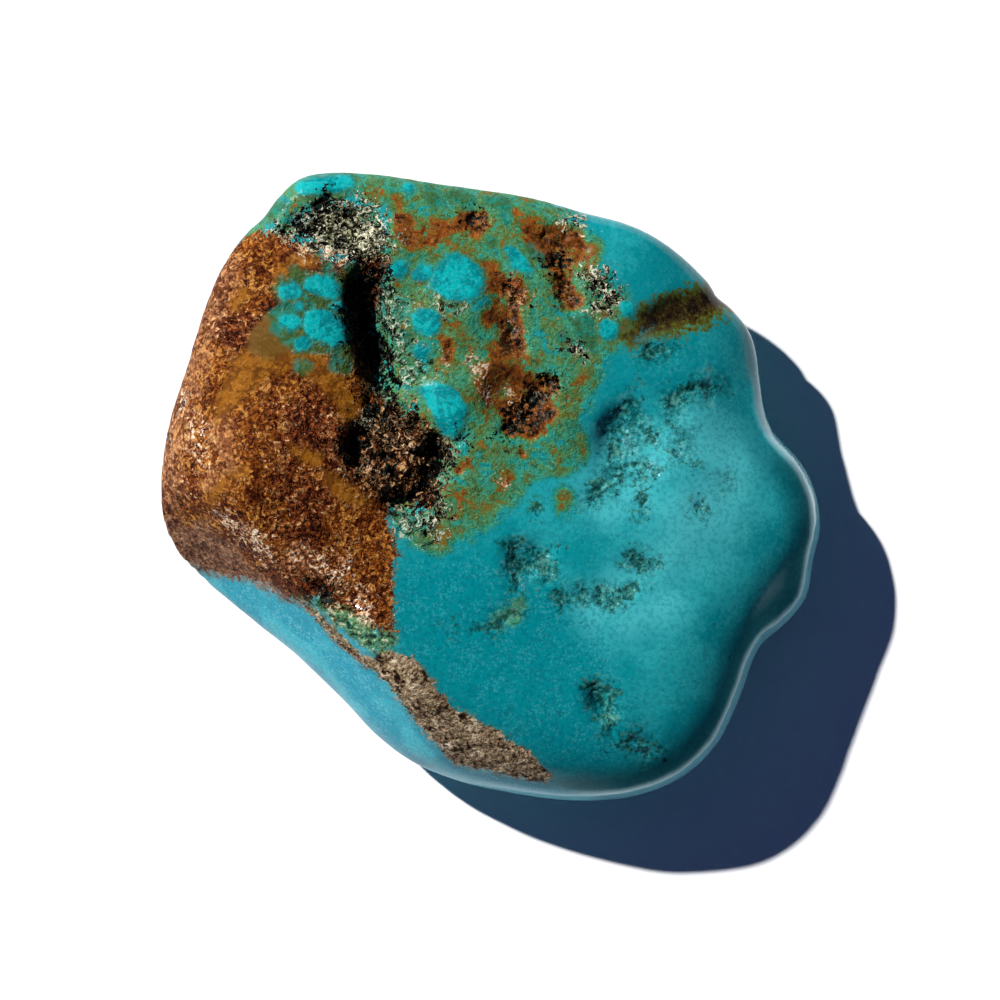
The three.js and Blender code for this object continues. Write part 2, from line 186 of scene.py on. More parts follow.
FORMS = {
    "rock": [
        [(-13.7, 11.6), (-13.1, 12.4), (-12.5, 12.8), (-11.7, 13.1), (-10.3, 12.9), (-9.6, 12.5),
         (-8.8, 11.9), (-7.8, 11.5), (-7.0, 11.3), (-6.6, 11.8), (-5.1, 11.8), (-5.2, 11.2),
         (-5.6, 9.7), (-6.1, 8.2), (-5.8, 5.6), (-5.1, 4.1), (-4.7, 3.0), (-4.2, 2.0), (-4.2, 0.8),
         (-4.5, -0.1), (-5.1, -0.8), (-5.2, -1.7), (-4.9, -2.5), (-4.8, -3.4), (-5.0, -4.4),
         (-4.9, -5.3), (-4.8, -6.3), (-4.7, -7.1), (-6.2, -7.1), (-7.6, -6.4), (-8.9, -5.6),
         (-9.9, -5.7), (-10.9, -5.1), (-12.6, -4.5), (-14.7, -4.2), (-16.0, -3.7), (-18.6, -0.6),
         (-18.6, 3.0), (-17.0, 7.6), (-14.7, 11.2)],
    ],
    "cheek": [
        [(-18.6, -1.6), (-16.6, -1.6), (-15.5, -2.0), (-14.7, -1.7), (-13.9, -2.3), (-13.0, -3.0),
         (-12.0, -4.1), (-10.7, -5.1), (-9.6, -5.9), (-11.1, -5.3), (-12.6, -4.6), (-14.7, -4.3),
         (-17.6, -3.9)],
    ],
    "lip": [
        [(-8.7, -5.7, 0.36), (-7.9, -6.2, 0.5), (-7.0, -6.9, 0.6), (-6.0, -7.6, 0.6),
         (-5.1, -7.7, 0.36)],
    ],
    "green": [
        [(-5.5, 12.3), (-4.7, 14.1), (-2.7, 14.6), (-0.6, 14.7), (2.4, 14.6), (4.5, 13.7),
         (5.2, 12.6), (5.6, 11.5), (6.4, 10.0), (6.7, 8.9), (5.8, 8.1), (6.3, 7.1), (5.7, 6.0),
         (5.2, 4.8), (4.7, 3.3), (4.8, 2.0), (4.1, 0.9), (2.9, 0.7), (2.0, 0.5), (1.3, -0.6),
         (0.4, -1.6), (-1.0, -2.7), (-2.7, -3.3), (-4.5, -2.6), (-5.1, -1.3), (-4.5, 1.0),
         (-4.9, 2.5), (-5.6, 4.6), (-6.1, 7.6), (-5.6, 9.7), (-5.2, 10.9)],
        [(-13.3, 12.8, 0.5), (-12.4, 13.4, 0.7), (-11.3, 14.2, 0.8), (-8.8, 15.1, 0.8),
         (-5.8, 15.3, 0.7), (-2.2, 14.9, 0.8), (1.4, 14.4, 0.7), (3.8, 14.0, 0.41)],
        [(3.6, -0.5, 0.5), (3.8, -1.0, 0.5), (4.2, -1.2, 0.31)],
        [(2.3, -0.7, 0.21)],
        [(-8.3, 13.4, 0.7), (-6.1, 13.4, 0.7)],
        [(-10.4, 13.0, 0.41)],
        [(5.5, 9.7, 0.5), (6.5, 9.9, 0.41)],
        [(5.3, 7.1, 0.5)],
        [(-10.6, 10.5, 0.41), (-9.9, 10.9, 0.41), (-8.9, 11.1, 0.31)],
    ],
    "rust": [
        [(-5.3, 13.7), (-4.6, 14.0), (-3.9, 14.0), (-2.7, 13.7), (-2.0, 13.7), (-1.5, 14.1),
         (-0.3, 14.1), (0.3, 13.6), (-0.2, 12.9), (-1.0, 12.5), (-1.7, 12.8), (-2.5, 12.4),
         (-3.1, 11.8), (-4.2, 11.9), (-5.1, 12.5)],
        [(-0.7, 11.4), (-0.1, 11.8), (0.4, 11.5), (0.8, 10.9), (1.6, 10.7), (2.2, 9.9), (2.1, 9.3),
         (1.4, 9.1), (1.2, 8.7), (1.6, 7.9), (1.9, 6.9), (2.1, 6.1), (2.9, 5.5), (3.3, 4.4),
         (3.3, 3.8), (2.9, 3.4), (2.9, 2.7), (1.7, 2.8), (0.5, 2.6), (0.5, 3.3), (-0.0, 3.8),
         (-0.7, 4.7), (-1.1, 5.5), (-0.9, 6.2), (-0.2, 6.5), (-0.4, 7.1), (-0.1, 7.6), (-0.7, 8.3),
         (-0.9, 8.9), (-0.2, 9.4), (-0.2, 10.3)],
        [(1.0, 14.1), (1.9, 13.9), (2.7, 13.6), (4.6, 13.3), (4.9, 12.6), (4.8, 11.7), (4.4, 11.2),
         (4.1, 10.6), (4.8, 9.6), (4.1, 8.8), (3.5, 8.9), (3.1, 9.7), (2.7, 10.3), (2.4, 10.8),
         (2.5, 11.4), (2.0, 12.1), (1.4, 13.0)],
        [(-2.6, 7.5, 0.21), (-2.1, 7.3, 0.41), (-2.2, 6.6, 0.31)],
        [(1.4, 2.1, 0.26), (1.6, 1.6, 0.21)],
        [(-1.9, 0.8, 0.21), (-1.3, 1.3, 0.36)],
    ],
    "ochre": [
        [(-4.8, 10.3, 0.41)],
        [(-6.2, 15.0, 0.41), (-5.1, 14.8, 0.5), (-4.6, 14.4, 0.41)],
        [(3.6, -0.5, 0.36), (3.7, -0.9, 0.41)],
        [(-0.0, -0.3, 0.5), (0.6, 0.4, 0.6), (1.1, 0.6, 0.36)],
        [(-2.5, -1.6, 0.41), (-1.6, -1.0, 0.5), (-0.4, -1.0, 0.5), (0.4, -0.6, 0.31)],
        [(-3.2, -2.2, 0.5), (-2.4, -2.4, 0.6), (-1.6, -2.1, 0.41)],
        [(-0.8, 6.1, 0.5)],
        [(0.2, 6.0, 0.5), (1.9, 5.9, 0.5), (2.5, 6.6, 0.36)],
        [(4.3, 5.4, 0.31), (4.7, 5.8, 0.5), (5.0, 6.1, 0.26)],
        [(5.8, 7.5, 0.26), (6.7, 8.2, 0.41)],
        [(-10.0, 14.4, 0.41), (-9.2, 14.8, 0.31)],
        [(-2.8, 13.2, 0.5), (-2.1, 12.3, 0.41), (-2.9, 11.6, 0.36)],
        [(-2.2, 8.8, 0.36), (-1.1, 7.0, 0.5), (-1.9, 8.1, 0.31)],
        [(3.5, 2.5, 0.13), (4.2, 2.3, 0.21), (4.6, 1.8, 0.15), (4.3, 1.3, 0.15), (3.5, 0.9, 0.13),
         (2.8, 1.0, 0.15), (2.2, 1.4, 0.15)],
        [(0.4, -6.6, 0.26), (1.0, -6.3, 0.41), (1.4, -5.9, 0.21)],
        [(-1.1, 2.5, 0.31), (-0.5, 2.2, 0.26)],
        [(-3.7, 3.9, 0.31), (-3.1, 2.9, 0.26)],
        [(1.1, 14.1, 0.41), (1.7, 13.0, 0.41), (2.4, 10.5, 0.26)],
        [(0.4, 12.3, 0.31), (1.0, 12.8, 0.26)],
        [(2.5, 6.9, 0.41), (3.1, 6.5, 0.31)],
        [(5.1, 12.2, 0.41), (4.9, 10.9, 0.36)],
        [(3.3, 8.4, 0.41), (3.8, 7.4, 0.31)],
        [(-12.9, 6.8), (-11.8, 7.0), (-9.9, 7.0), (-8.9, 7.0), (-7.9, 6.1), (-7.0, 4.6),
         (-6.5, 3.3), (-7.2, 3.1), (-7.8, 4.1), (-8.7, 5.2), (-9.7, 6.0), (-10.8, 5.8),
         (-11.8, 5.0), (-12.9, 3.9), (-13.9, 3.3), (-14.3, 3.7), (-13.6, 5.0)],
        [(-8.3, 0.6, 0.36), (-7.3, -0.2, 0.41), (-6.4, -0.6, 0.31)],
        [(-9.9, 2.0, 0.26), (-8.7, 1.4, 0.31)],
        [(-14.2, -0.6, 0.21), (-13.3, 0.5, 0.21), (-12.3, 0.9, 0.15)],
        [(-10.7, 10.9, 0.31), (-10.0, 11.3, 0.41), (-9.0, 11.5, 0.31)],
        [(-13.0, 9.2, 0.26), (-12.3, 9.9, 0.21)],
    ],
    "dark": [
        [(2.8, 5.2, 0.6), (2.2, 4.7, 0.6), (2.9, 3.9, 0.41), (2.0, 3.5, 0.6), (1.1, 3.1, 0.6),
         (1.0, 3.9, 0.41), (1.8, 2.9, 0.5), (2.4, 3.0, 0.41)],
        [(0.8, 8.4, 0.36), (1.2, 7.7, 0.41), (1.5, 7.1, 0.26), (1.0, 9.4, 0.31)],
        [(-1.3, 13.7, 0.36), (-0.7, 13.4, 0.6), (-0.4, 13.8, 0.26)],
        [(2.9, 12.7, 0.5), (3.5, 12.5, 0.5), (4.2, 12.6, 0.5), (4.5, 12.2, 0.31)],
        [(3.1, 11.5, 0.41), (3.8, 11.3, 0.36)],
        [(3.6, 10.3, 0.5), (4.1, 9.4, 0.5)],
        [(1.5, 1.8, 0.15)],
        [(-1.7, 0.9, 0.21)],
        [(-2.1, 7.0, 0.21)],
        [(-6.0, 11.5, 0.31), (-5.3, 11.5, 0.21)],
    ],
    "crystal": [
        [(-11.0, 13.1), (-10.3, 13.6), (-9.7, 14.2), (-8.7, 14.7), (-7.6, 14.7), (-6.6, 14.5),
         (-5.9, 14.1), (-5.3, 13.4), (-4.9, 12.5), (-5.3, 11.6), (-6.1, 11.3), (-7.2, 11.3),
         (-8.0, 11.4), (-8.8, 11.9), (-9.8, 12.4), (-10.7, 12.8)],
        [(4.9, 10.9, 0.36), (5.6, 10.3, 0.6), (5.9, 9.7, 0.5), (5.5, 9.3, 0.31)],
        [(4.3, 7.1, 0.36)],
        [(3.7, 13.6, 0.15), (4.4, 13.4, 0.15)],
        [(-2.5, 9.2, 0.36)],
        [(-2.9, -1.7, 0.26), (-2.4, -1.1, 0.21)],
        [(-3.5, 7.0, 0.21)],
        [(-6.2, 3.7, 0.5), (-6.5, 3.0, 0.31)],
    ],
    # black crust, also drawn over the shaded walls of the cracks as painted shade
    "black": [
        [(-8.8, -4.9, 0.26), (-8.4, -5.4, 0.26)],
        [(-6.5, 2.7, 0.31), (-6.2, 2.3, 0.21)],
        [(-9.9, 13.5, 0.26), (-10.3, 13.1, 0.26)],
        [(-6.7, 11.4), (-5.3, 11.3), (-5.2, 10.6), (-5.6, 9.8), (-6.0, 9.4), (-6.0, 8.2),
         (-5.2, 7.9), (-4.9, 7.1), (-5.0, 6.2), (-4.7, 5.2), (-4.8, 4.5), (-5.5, 4.4), (-6.0, 5.2),
         (-6.5, 6.1), (-6.9, 7.0), (-7.3, 7.9), (-7.5, 9.0), (-7.4, 9.9), (-7.1, 10.6)],
        [(-6.9, 2.9, 0.31), (-7.1, 2.1, 0.41), (-6.8, 1.3, 0.36)],
        [(-6.2, 4.4, 0.26), (-5.7, 3.7, 0.21)],
        [(-3.0, 2.2, 0.41), (-2.6, 1.4, 0.5), (-2.9, 0.6, 0.36), (-3.5, 0.2, 0.21)],
        [(-4.8, -0.4, 0.31), (-4.1, -0.6, 0.26)],
        [(-3.5, -1.2, 0.15), (-3.3, -1.8, 0.10)],
        [(-5.5, 1.9, 0.21), (-5.0, 0.7, 0.26)],
        [(2.9, 5.3, 0.31), (2.3, 4.7, 0.41), (1.9, 4.4, 0.26)],
        [(1.0, 3.3, 0.31), (0.6, 2.9, 0.21)],
        [(1.8, 3.6, 0.26)],
        [(-9.9, 13.4, 0.36), (-9.3, 13.1, 0.5)],
        [(-8.3, 14.6, 0.26), (-8.6, 14.1, 0.26)],
        [(-7.6, 13.7, 0.21)],
        [(-7.6, 12.5, 0.21)],
        [(-0.9, 13.7, 0.21)],
        [(3.0, 11.4, 0.21), (3.6, 11.5, 0.21)],
        [(5.5, 10.2, 0.15)],
        [(4.2, 7.2, 0.21)],
        [(-1.6, 2.5, 0.15)],
    ],
    "island": [
        [(-10.8, 10.1), (-10.5, 10.5), (-10.0, 10.5), (-9.6, 10.2), (-9.6, 9.7), (-10.0, 9.4),
         (-10.5, 9.4), (-10.8, 9.7)],
        [(-9.4, 10.5), (-8.8, 10.8), (-8.1, 10.7), (-7.6, 10.3), (-7.5, 9.8), (-7.8, 9.4),
         (-8.4, 9.5), (-9.1, 9.8), (-9.5, 10.1)],
        [(-10.1, 9.3), (-9.7, 9.5), (-9.3, 9.3), (-9.5, 8.9), (-9.9, 8.9)],
        [(-10.7, 8.6), (-10.4, 8.9), (-9.8, 8.8), (-9.5, 8.5), (-9.7, 8.0), (-10.2, 7.8),
         (-10.6, 8.1)],
        [(-9.5, 8.8), (-8.9, 9.0), (-8.1, 8.9), (-7.6, 8.6), (-7.3, 8.1), (-7.4, 7.3), (-8.0, 7.1),
         (-8.7, 7.4), (-9.3, 7.8)],
        [(-9.9, 7.5), (-9.5, 7.7), (-9.1, 7.4), (-9.3, 7.0), (-9.8, 7.0)],
        [(-8.1, 9.5), (-7.5, 9.5), (-7.3, 9.0), (-7.7, 8.9), (-8.2, 9.1)],
        [(-3.2, 10.3), (-2.9, 11.1), (-2.5, 11.6), (-1.8, 11.9), (-1.1, 11.7), (-0.5, 11.1),
         (-0.4, 10.3), (-0.7, 9.7), (-1.5, 9.4), (-2.3, 9.5), (-2.9, 9.8)],
        [(-4.1, 8.8), (-3.7, 9.1), (-3.0, 9.1), (-2.6, 8.7), (-2.7, 7.9), (-3.2, 7.7), (-3.8, 8.0)],
        [(-5.2, 11.2), (-4.8, 11.6), (-4.3, 11.4), (-4.2, 10.9), (-4.6, 10.6), (-5.1, 10.8)],
        [(-4.1, 10.9), (-3.6, 11.3), (-3.0, 11.2), (-2.9, 10.7), (-3.4, 10.4), (-4.0, 10.5)],
        [(0.7, 12.2), (1.3, 12.1), (1.8, 11.6), (2.1, 11.0), (1.6, 10.9), (1.1, 11.2)],
        [(-3.7, 5.2), (-3.0, 5.4), (-2.1, 5.2), (-1.5, 4.7), (-1.2, 4.1), (-1.4, 3.3), (-2.0, 2.6),
         (-2.5, 2.7), (-2.8, 3.4), (-3.2, 4.1)],
        [(-4.1, 7.0), (-3.7, 7.4), (-3.1, 7.1), (-3.2, 6.6), (-3.8, 6.5)],
        [(5.4, 8.4), (5.8, 8.6), (6.4, 8.3), (6.3, 7.7), (5.7, 7.5), (5.3, 7.8)],
        [(6.8, 9.1, 0.41)],
        [(-9.5, 15.2, 0.41), (-8.3, 15.4, 0.5), (-7.4, 15.5, 0.41)],
        [(-4.2, 15.3, 0.31)],
        [(-5.5, 6.5, 0.01)],
    ],
    "streak": [
        [(7.0, 7.6, 0.10), (8.1, 8.4, 0.41), (9.2, 8.8, 0.6), (10.3, 9.2, 0.6), (11.5, 9.7, 0.5)],
    ],
    "crust": [
        [(6.5, 3.9, 0.15), (6.8, 3.3, 0.26), (6.5, 2.5, 0.21), (6.2, 1.7, 0.26), (6.5, 1.0, 0.21),
         (5.7, 0.3, 0.15), (5.0, -0.4, 0.21)],
        [(6.4, 1.0, 0.21), (7.2, 1.2, 0.21), (7.7, 1.0, 0.15), (8.3, 0.8, 0.15)],
        [(9.0, 4.6, 0.15), (9.3, 4.7, 0.21), (9.9, 5.0, 0.15), (10.5, 5.2, 0.15),
         (11.1, 5.2, 0.15)],
        [(9.3, 1.8, 0.15)],
        [(10.3, 1.1, 0.10)],
        [(10.5, -0.9, 0.21)],
        [(7.6, -0.4, 0.13), (7.7, -1.1, 0.15)],
        [(1.1, -2.9, 0.15), (1.1, -3.4, 0.21), (1.3, -3.7, 0.21), (1.2, -4.5, 0.15),
         (1.4, -5.1, 0.15)],
        [(1.3, -3.7, 0.21), (1.7, -3.9, 0.21), (2.4, -4.0, 0.15), (2.9, -4.3, 0.21),
         (2.7, -4.7, 0.15)],
        [(2.4, -3.4, 0.15), (3.1, -3.1, 0.21), (3.3, -2.9, 0.10)],
        [(6.9, -3.3, 0.21), (7.3, -3.7, 0.15), (7.9, -3.7, 0.21), (8.3, -3.9, 0.10)],
        [(3.2, -5.2, 0.13), (3.6, -5.5, 0.13), (4.2, -5.5, 0.13), (4.6, -5.2, 0.10)],
        [(5.4, -5.0, 0.08), (5.4, -5.6, 0.08)],
        [(5.9, -5.9, 0.15), (6.3, -5.5, 0.21), (6.8, -5.2, 0.21), (7.2, -4.9, 0.15)],
        [(5.1, -10.0, 0.26), (5.5, -10.4, 0.26), (5.4, -11.0, 0.26), (5.8, -11.5, 0.21),
         (6.1, -12.3, 0.15)],
        [(6.1, -10.2, 0.21)],
        [(6.1, -13.0, 0.13)],
        [(7.2, -12.7, 0.21), (7.7, -12.9, 0.15), (8.0, -13.4, 0.21), (7.5, -13.3, 0.15)],
        [(0.1, -7.1, 0.15), (0.6, -6.7, 0.15), (1.2, -6.3, 0.21)],
        [(-0.9, -7.0, 0.15)],
        [(-2.1, -7.0, 0.15)],
        [(2.3, -1.0, 0.21)],
        [(3.8, 4.5, 0.10)],
        [(7.3, 5.2, 0.10)],
        [(8.0, 7.1, 0.26), (8.7, 7.1, 0.21)],
        [(8.1, 2.5, 0.15)],
        [(8.8, 3.0, 0.15)],
    ],
    "spot": [
        [(11.2, -6.8, 0.14)],
        [(11.6, -6.9, 0.09)],
        [(12.1, -8.6, 0.13)],
        [(8.6, -10.2, 0.09)],
        [(7.5, -8.8, 0.09)],
        [(8.8, -13.8, 0.15)],
        [(10.3, -2.1, 0.09)],
        [(4.3, -7.8, 0.06)],
    ],
    "deep": [
        [(-5.8, -3.6), (-1.1, -3.1), (1.4, -3.6), (5.0, -6.2), (6.5, -9.8), (7.6, -12.9),
         (5.0, -14.7), (0.4, -13.1), (-2.7, -10.3), (-5.8, -7.2)],
    ],
    "pale": [
        [(7.6, 1.0, 0.7), (9.0, 1.4, 1.2), (10.7, 2.5, 1.5), (12.2, 1.0, 1.5), (10.7, -1.1, 2.1),
         (8.6, -3.6, 1.5), (5.5, -5.7, 0.8)],
        [(5.8, -1.1, 0.5), (7.3, -0.3, 0.7)],
        [(5.4, 1.0, 0.26), (5.3, 2.3, 0.31)],
        [(7.1, -6.7, 0.9), (8.6, -5.7, 1.1)],
    ],
    "flank": [
        [(-17.6, -3.6), (-14.3, -4.4), (-11.8, -4.8), (-9.9, -5.7), (-8.2, -6.4), (-6.9, -7.7),
         (-5.6, -9.0), (-4.2, -11.0), (-2.7, -13.1), (-1.1, -14.3), (2.9, -15.0), (5.5, -15.9),
         (3.5, -18.5), (-4.7, -18.5), (-15.0, -12.4)],
    ],
    # bright cream grains, and on the left shoulder painted glints of the lamp
    "glow": [
        [(-15.5, 4.5, 0.31), (-15.0, 3.4, 0.41), (-14.7, 2.3, 0.5), (-14.5, 1.4, 0.31)],
        [(-15.9, 2.5, 0.21)],
        [(-13.9, -1.2, 0.21), (-13.1, -1.6, 0.31), (-12.3, -2.1, 0.41), (-11.7, -2.7, 0.5),
         (-11.3, -3.3, 0.31)],
        [(-12.4, -1.6, 0.21)],
        [(-10.1, -3.1, 0.31), (-9.7, -3.6, 0.26)],
        [(-8.9, -3.4, 0.31), (-8.1, -4.2, 0.5), (-7.3, -5.1, 0.5), (-6.6, -5.9, 0.5),
         (-6.0, -6.6, 0.31)],
        [(-7.4, -3.6, 0.26)],
        [(-1.0, 6.3, 0.31), (-0.5, 5.5, 0.36), (-0.2, 4.8, 0.31)],
        [(-6.1, 1.9, 0.26), (-6.1, 1.3, 0.26)],
        [(-4.8, 3.0, 0.31), (-4.6, 2.4, 0.31)],
        [(-4.1, 1.9, 0.26)],
        [(-8.3, 11.6, 0.31), (-7.5, 11.4, 0.36), (-9.9, 12.3, 0.21)],
        [(0.8, 5.0, 0.15), (0.9, 4.2, 0.21)],
        [(0.4, 0.4, 0.36)],
        [(-2.3, 6.2, 0.21)],
        [(0.9, 8.2, 0.26)],
        [(-2.4, -12.8, 0.31)],
        [(-8.0, -5.8, 0.31), (-7.6, -6.2, 0.21)],
    ],
    # painted sheen: where the rock's shoulders face the lamp they are drawn paler
    "worn": [
        [(-13.1, 11.2, 0.41), (-14.3, 8.8, 0.7), (-15.2, 6.3, 0.8), (-15.9, 3.5, 0.9),
         (-16.4, 1.4, 0.7), (-16.2, -0.6, 0.5)],
        [(-13.7, 3.2, 0.6), (-13.3, 1.0, 0.41), (-14.2, 0.2, 0.41)],
        [(-9.9, -3.4, 0.5), (-8.8, -4.2, 0.41)],
    ],
    "smooth": [
        [(-12.3, 7.0), (-12.2, 7.8), (-11.6, 8.6), (-10.8, 9.0), (-10.2, 8.2), (-9.6, 7.6),
         (-9.9, 7.0), (-10.8, 6.6), (-11.7, 6.5)],
    ],
    "umber": [
        [(-7.2, 3.0), (-6.7, 3.7), (-5.8, 4.4), (-4.7, 4.6), (-3.7, 3.8), (-2.8, 3.1), (-2.1, 2.5),
         (-1.9, 1.6), (-2.3, 0.4), (-2.7, -0.8), (-3.4, -1.2), (-4.2, -1.1), (-4.9, -0.9),
         (-5.6, -0.6), (-6.6, -0.1), (-7.2, 1.0)],
        [(0.8, 10.2, 0.31), (1.4, 9.7, 0.36)],
        [(1.4, 4.5, 0.26), (1.5, 3.9, 0.26)],
        [(2.7, 5.4, 0.21)],
        [(3.5, 9.7, 0.26)],
    ],
    "shard": [
        [(-5.3, 10.1, 0.31), (-5.2, 9.4, 0.6), (-5.2, 8.6, 0.7), (-4.7, 7.5, 0.41),
         (-4.6, 6.3, 0.36), (-4.3, 5.4, 0.36)],
        [(-6.3, 9.1, 0.36), (-6.1, 8.4, 0.31)],
        [(-5.7, 5.0, 0.41), (-5.1, 4.5, 0.31)],
        [(5.3, 10.4, 0.5), (6.0, 9.7, 0.41), (5.8, 9.1, 0.31)],
        [(-4.7, -1.0, 0.41), (-4.1, -1.8, 0.5), (-3.1, -1.7, 0.5), (-2.9, -2.4, 0.26)],
        [(-1.7, 9.1, 0.31)],
        [(-3.5, 6.3, 0.31)],
    ],
    "teal": [
        [(-11.1, 10.2), (-10.7, 10.7), (-9.5, 10.9), (-8.0, 11.0), (-7.3, 10.4), (-7.1, 9.5),
         (-7.2, 8.6), (-7.0, 7.6), (-7.2, 6.8), (-8.0, 6.7), (-9.0, 6.8), (-9.9, 6.8),
         (-10.4, 7.3), (-11.1, 7.8), (-11.2, 8.8), (-10.7, 9.3)],
        [(4.1, 8.6, 0.21), (4.6, 8.1, 0.5), (5.1, 7.7, 0.31)],
        [(-9.6, 6.2, 0.36), (-9.2, 6.1, 0.31)],
        [(-7.8, 6.3, 0.41), (-7.3, 6.1, 0.31)],
        [(-9.9, 10.8, 0.36)],
        [(-7.0, 11.1, 0.36)],
        [(1.8, 12.2, 0.21), (2.4, 11.6, 0.21)],
        [(-4.6, 9.2, 0.26), (-4.7, 8.7, 0.21)],
        [(-4.3, 7.6, 0.31)],
        [(-8.8, 15.6, 0.31), (-7.3, 15.7, 0.41)],
        [(-12.0, 13.7, 0.26), (-11.3, 14.1, 0.5), (-10.6, 14.3, 0.31)],
        [(-12.6, 13.1, 0.26), (-12.9, 12.7, 0.21)],
        [(-3.2, 15.2, 0.31), (-2.8, 14.5, 0.41)],
        [(-1.9, 14.8, 0.36), (-1.1, 14.6, 0.36)],
        [(-0.1, 14.6, 0.31), (0.7, 14.4, 0.36)],
        [(4.7, 8.1, 0.6), (5.0, 7.3, 0.36)],
        [(-7.1, 11.0, 0.36)],
        [(-8.3, 11.1, 0.26)],
        [(-7.5, 6.5, 0.41)],
        [(-9.6, 6.2, 0.31)],
        [(3.5, 7.6, 0.36)],
        [(4.2, 3.1, 0.31)],
        [(-7.4, 9.5, 0.26)],
        [(-0.0, 12.5, 0.26)],
    ],
    "seam": [
        [(-5.8, -8.2), (-5.0, -8.1), (-3.9, -8.4), (-3.4, -9.1), (-2.8, -10.0), (-2.0, -11.0),
         (-0.6, -11.7), (0.7, -12.5), (1.7, -13.2), (2.6, -14.1), (3.1, -14.8), (2.1, -14.9),
         (0.1, -14.4), (-1.8, -14.1), (-2.5, -13.4), (-3.4, -12.4), (-4.3, -11.2), (-5.0, -10.2),
         (-5.9, -9.1)],
        [(-9.8, -5.6, 0.13), (-8.8, -6.4, 0.21), (-7.8, -7.5, 0.26), (-6.7, -8.5, 0.26),
         (-5.7, -9.0, 0.31)],
    ],
    # dimples: their mottling partly paints the light and shade of small pits
    "dent": [
        [(5.8, 3.0, 0.41), (6.3, 3.7, 0.36)],
        [(6.9, 3.9, 0.6), (7.2, 3.1, 0.8), (6.7, 2.2, 0.8), (6.3, 1.2, 0.8), (5.8, 0.3, 0.7),
         (5.1, -0.4, 0.5)],
        [(7.6, 1.2, 0.5), (8.2, 0.9, 0.36)],
        [(9.2, 4.5, 0.6), (9.2, 3.8, 0.5)],
        [(9.8, 5.0, 0.5), (11.0, 5.2, 0.5), (11.7, 5.0, 0.26)],
        [(10.9, 4.7, 0.36)],
        [(9.6, 2.5, 0.6), (9.5, 1.7, 0.41)],
        [(8.0, 2.7, 0.41)],
        [(1.1, -3.0, 0.5), (1.2, -3.9, 0.6), (1.2, -4.8, 0.5)],
        [(2.1, -3.7, 0.8), (2.7, -4.4, 0.5)],
        [(7.2, -3.6, 0.6), (7.9, -3.9, 0.5)],
        [(3.6, -5.4, 0.41), (4.7, -5.4, 0.5), (6.1, -5.6, 0.6), (6.8, -5.1, 0.41)],
        [(5.3, -10.3, 0.6), (5.7, -11.0, 0.6), (6.0, -12.1, 0.41)],
        [(7.3, -12.8, 0.5), (7.8, -13.3, 0.36)],
        [(7.6, -0.4, 0.36), (7.7, -1.1, 0.31)],
        [(10.5, -0.9, 0.31)],
        [(8.0, 7.0, 0.6), (8.8, 7.0, 0.5)],
        [(0.4, -6.6, 0.5), (1.1, -6.3, 0.41)],
        [(11.9, 0.3, 0.31)],
    ],
}


def distance_inside(plan, form):
    """How far inside a form each point lies, in millimetres; negative outside."""
    ring = np.array(form)
    closed = ring.shape[1] == 2
    if closed:
        starts, ends, radii = ring, np.roll(ring, -1, axis=0), np.zeros((len(ring), 2))
    else:
        heads, tails = ring[:max(len(ring) - 1, 1)], ring[min(1, len(ring) - 1):]
        starts, ends = heads[:, :2], tails[:, :2]
        radii = np.column_stack([heads[:, 2], tails[:, 2]])
    nearest = np.full(len(plan), -np.inf)
    crossings = np.zeros(len(plan), int)
    for start, end, (first, last) in zip(starts, ends, radii):
        run = end - start
        share = np.clip((plan - start) @ run / max(run @ run, TINY), 0, 1)
        gap = np.linalg.norm(plan - start - share[:, None] * run, axis=1)
        nearest = np.maximum(nearest, first + share * (last - first) - gap)
        spans = (start[1] > plan[:, 1]) != (end[1] > plan[:, 1])
        level = (plan[:, 1] - start[1]) / (run[1] if abs(run[1]) > TINY else TINY)
        crossings += spans & (plan[:, 0] < start[0] + level * run[0])
    if closed:
        nearest = np.where(crossings % 2 == 1, -nearest, nearest)
    return nearest


def read(piece, what):
    """The places or the normals of the corners of piece, one row each."""
    values = np.empty(3 * len(piece.data.vertices))
    piece.data.vertices.foreach_get(what, values)
    return values.reshape(-1, 3)


def field(piece, name):
    """How far inside the named kind of rock each corner of piece lies, in millimetres."""
    corners = read(piece, "co") / MM
    depth = np.maximum(SLANT_START - corners[:, 2:], 0)
    plan = corners[:, :2] + depth * np.array(SLANT)
    return np.max([distance_inside(plan, form) for form in FORMS[name]], axis=0)


# --- Finer faces and relief ------------------------------------------------------------
# The rough kinds of rock get faces half and then a quarter the size, and are then worn
# down: cracks and pits sink, crystals stand up, and the turquoise lobes stay proud.
MIXED = ("rock", "green", "rust", "ochre", "crystal", "umber", "seam", "lip", "streak", "dent")
ROUGHEST = ("crystal", "umber", "shard", "dark", "black", "crust", "lip", "island")
BORDER = 0.3  # how far the finer faces go on past the rough rock, in millimetres
UPWARD = 0.1  # faces that look up less than this show only from the side, and stay larger


def refine(piece, names, border):
    """Divides once the upward faces of piece within border of the named kinds of rock."""
    near = np.max([field(piece, name) for name in names], axis=0) > -border
    near &= read(piece, "normal")[:, 2] > UPWARD
    divide(piece, near)


def divide(piece, near):
    """Divides once each face of piece that has all its corners near."""
    pick_only(piece)
    bpy.ops.object.mode_set(mode="EDIT")
    bpy.ops.mesh.select_mode(type="FACE")
    bpy.ops.mesh.select_all(action="DESELECT")
    bpy.ops.object.mode_set(mode="OBJECT")
    chosen = [bool(near[list(face.vertices)].all()) for face in piece.data.polygons]
    piece.data.polygons.foreach_set("select", chosen)
    bpy.ops.object.mode_set(mode="EDIT")
    bpy.ops.mesh.subdivide(number_cuts=1, smoothness=0.0)
    bpy.ops.object.mode_set(mode="OBJECT")


